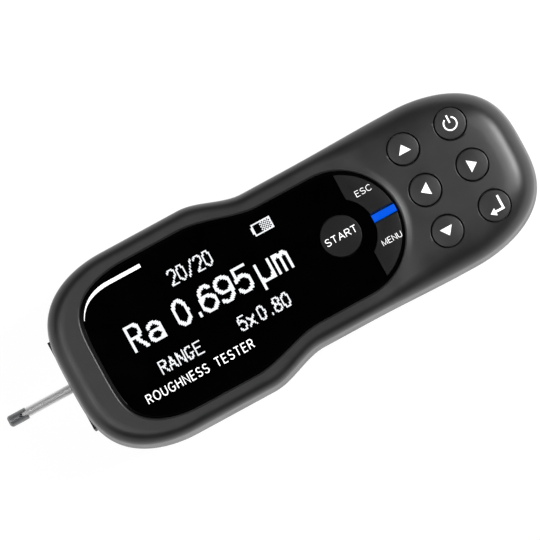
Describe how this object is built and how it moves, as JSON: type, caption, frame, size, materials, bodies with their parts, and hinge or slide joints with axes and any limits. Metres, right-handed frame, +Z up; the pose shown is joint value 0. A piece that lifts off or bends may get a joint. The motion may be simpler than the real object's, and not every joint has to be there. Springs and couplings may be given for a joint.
{
  "type": "surface roughness tester",
  "caption": "Handheld surface roughness tester: waisted dark housing, glossy display window, push keys and a motor-driven skid pickup at the front.",
  "frame": {"origin": "mouth of the stand thread, on the plane that the tester rests on", "axes": "+X from the pickup to the keys, +Z up out of the display"},
  "size_m": [0.18, 0.063, 0.046],
  "materials": {
    "housing_plastic": "satin soft-touch dark grey",
    "lens": "glossy black",
    "frame_plastic": "matt black moulded",
    "screw_steel": "zinc plated",
    "brass": "turned",
    "bronze": "sintered",
    "rubber": "matt black",
    "circuit_board": "green solder mask",
    "white_plastic": "moulded white",
    "display": "glass panel",
    "switch_metal": "stamped sheet",
    "blue_light": "clear blue light pipe",
    "battery_wrap": "shrink film",
    "motor_steel": "plated can",
    "ground_steel": "ground",
    "carriage_metal": "milled",
    "skid_steel": "polished dark steel",
    "diamond": "ground diamond",
    "window_keys": "satin near-black",
    "round_keys": "satin dark grey rubber"
  },
  "bodies": {
    "housing": {"upper_shell": "housing_plastic", "lower_shell": "housing_plastic", "display_window": "lens", "drive_frame": "frame_plastic", "shell_screws": "screw_steel", "frame_screws": "screw_steel", "board_screws": "screw_steel", "stand_insert": "brass", "screw_bushes": "bronze", "rear_feet": "rubber", "main_board": "circuit_board", "charge_board": "circuit_board", "display_holder": "white_plastic", "oled_panel": "display", "key_switches": "switch_metal", "usb_socket": "switch_metal", "status_light": "blue_light", "battery": "battery_wrap", "motor": "motor_steel", "guide_rods": "ground_steel"},
    "pickup": {"carriage": "carriage_metal", "pickup_body": "ground_steel", "pickup_tube": "ground_steel", "guide_head": "skid_steel", "stylus_pivot": "ground_steel"},
    "screw": {"motor_shaft": "motor_steel", "shaft_coupling": "bronze", "lead_screw": "ground_steel"},
    "stylus": {"stylus_arm": "skid_steel", "stylus_tip": "diamond"},
    "start": {"start_key": "window_keys"},
    "esc": {"esc_key": "window_keys"},
    "menu": {"menu_key": "window_keys"},
    "up": {"up_key": "round_keys"},
    "left": {"left_key": "round_keys"},
    "down": {"down_key": "round_keys"},
    "power": {"power_key": "round_keys"},
    "right": {"right_key": "round_keys"},
    "enter": {"enter_key": "round_keys"}
  },
  "joints": [
    {"name": "screw_turn", "type": "hinge", "parent": "housing", "child": "screw", "pos_m": [-0.05, 0, 0.015], "axis": [-1, 0, 0], "range_deg": [0, 3150]},
    {"name": "pickup_traverse", "type": "slide", "parent": "housing", "child": "pickup", "axis": [1, 0, 0], "range_m": [0, 0.0175]},
    {"name": "stylus_lift", "type": "hinge", "parent": "pickup", "child": "stylus", "pos_m": [-0.066, 0, 0.0056], "axis": [0, 1, 0], "range_deg": [0, 0.25], "stiffness_Nm_per_rad": 0.002, "springref_deg": -5.73},
    {"name": "start_press", "type": "slide", "parent": "housing", "child": "start", "axis": [0, 0, -1], "range_m": [0, 0.0006], "stiffness_N_per_m": 400, "springref_m": -0.002},
    {"name": "esc_press", "type": "slide", "parent": "housing", "child": "esc", "axis": [0, 0, -1], "range_m": [0, 0.0006], "stiffness_N_per_m": 400, "springref_m": -0.002},
    {"name": "menu_press", "type": "slide", "parent": "housing", "child": "menu", "axis": [0, 0, -1], "range_m": [0, 0.0006], "stiffness_N_per_m": 400, "springref_m": -0.002},
    {"name": "up_press", "type": "slide", "parent": "housing", "child": "up", "axis": [0, 0, -1], "range_m": [0, 0.0006], "stiffness_N_per_m": 400, "springref_m": -0.002},
    {"name": "left_press", "type": "slide", "parent": "housing", "child": "left", "axis": [0, 0, -1], "range_m": [0, 0.0006], "stiffness_N_per_m": 400, "springref_m": -0.002},
    {"name": "down_press", "type": "slide", "parent": "housing", "child": "down", "axis": [0, 0, -1], "range_m": [0, 0.0006], "stiffness_N_per_m": 400, "springref_m": -0.002},
    {"name": "power_press", "type": "slide", "parent": "housing", "child": "power", "axis": [0, 0, -1], "range_m": [0, 0.0006], "stiffness_N_per_m": 400, "springref_m": -0.002},
    {"name": "right_press", "type": "slide", "parent": "housing", "child": "right", "axis": [0, 0, -1], "range_m": [0, 0.0006], "stiffness_N_per_m": 400, "springref_m": -0.002},
    {"name": "enter_press", "type": "slide", "parent": "housing", "child": "enter", "axis": [0, 0, -1], "range_m": [0, 0.0006], "stiffness_N_per_m": 400, "springref_m": -0.002}
  ],
  "couplings": [
    {"joint": "screw_turn", "follows": "pickup_traverse", "rad_per_m": 3141.6}
  ]
}
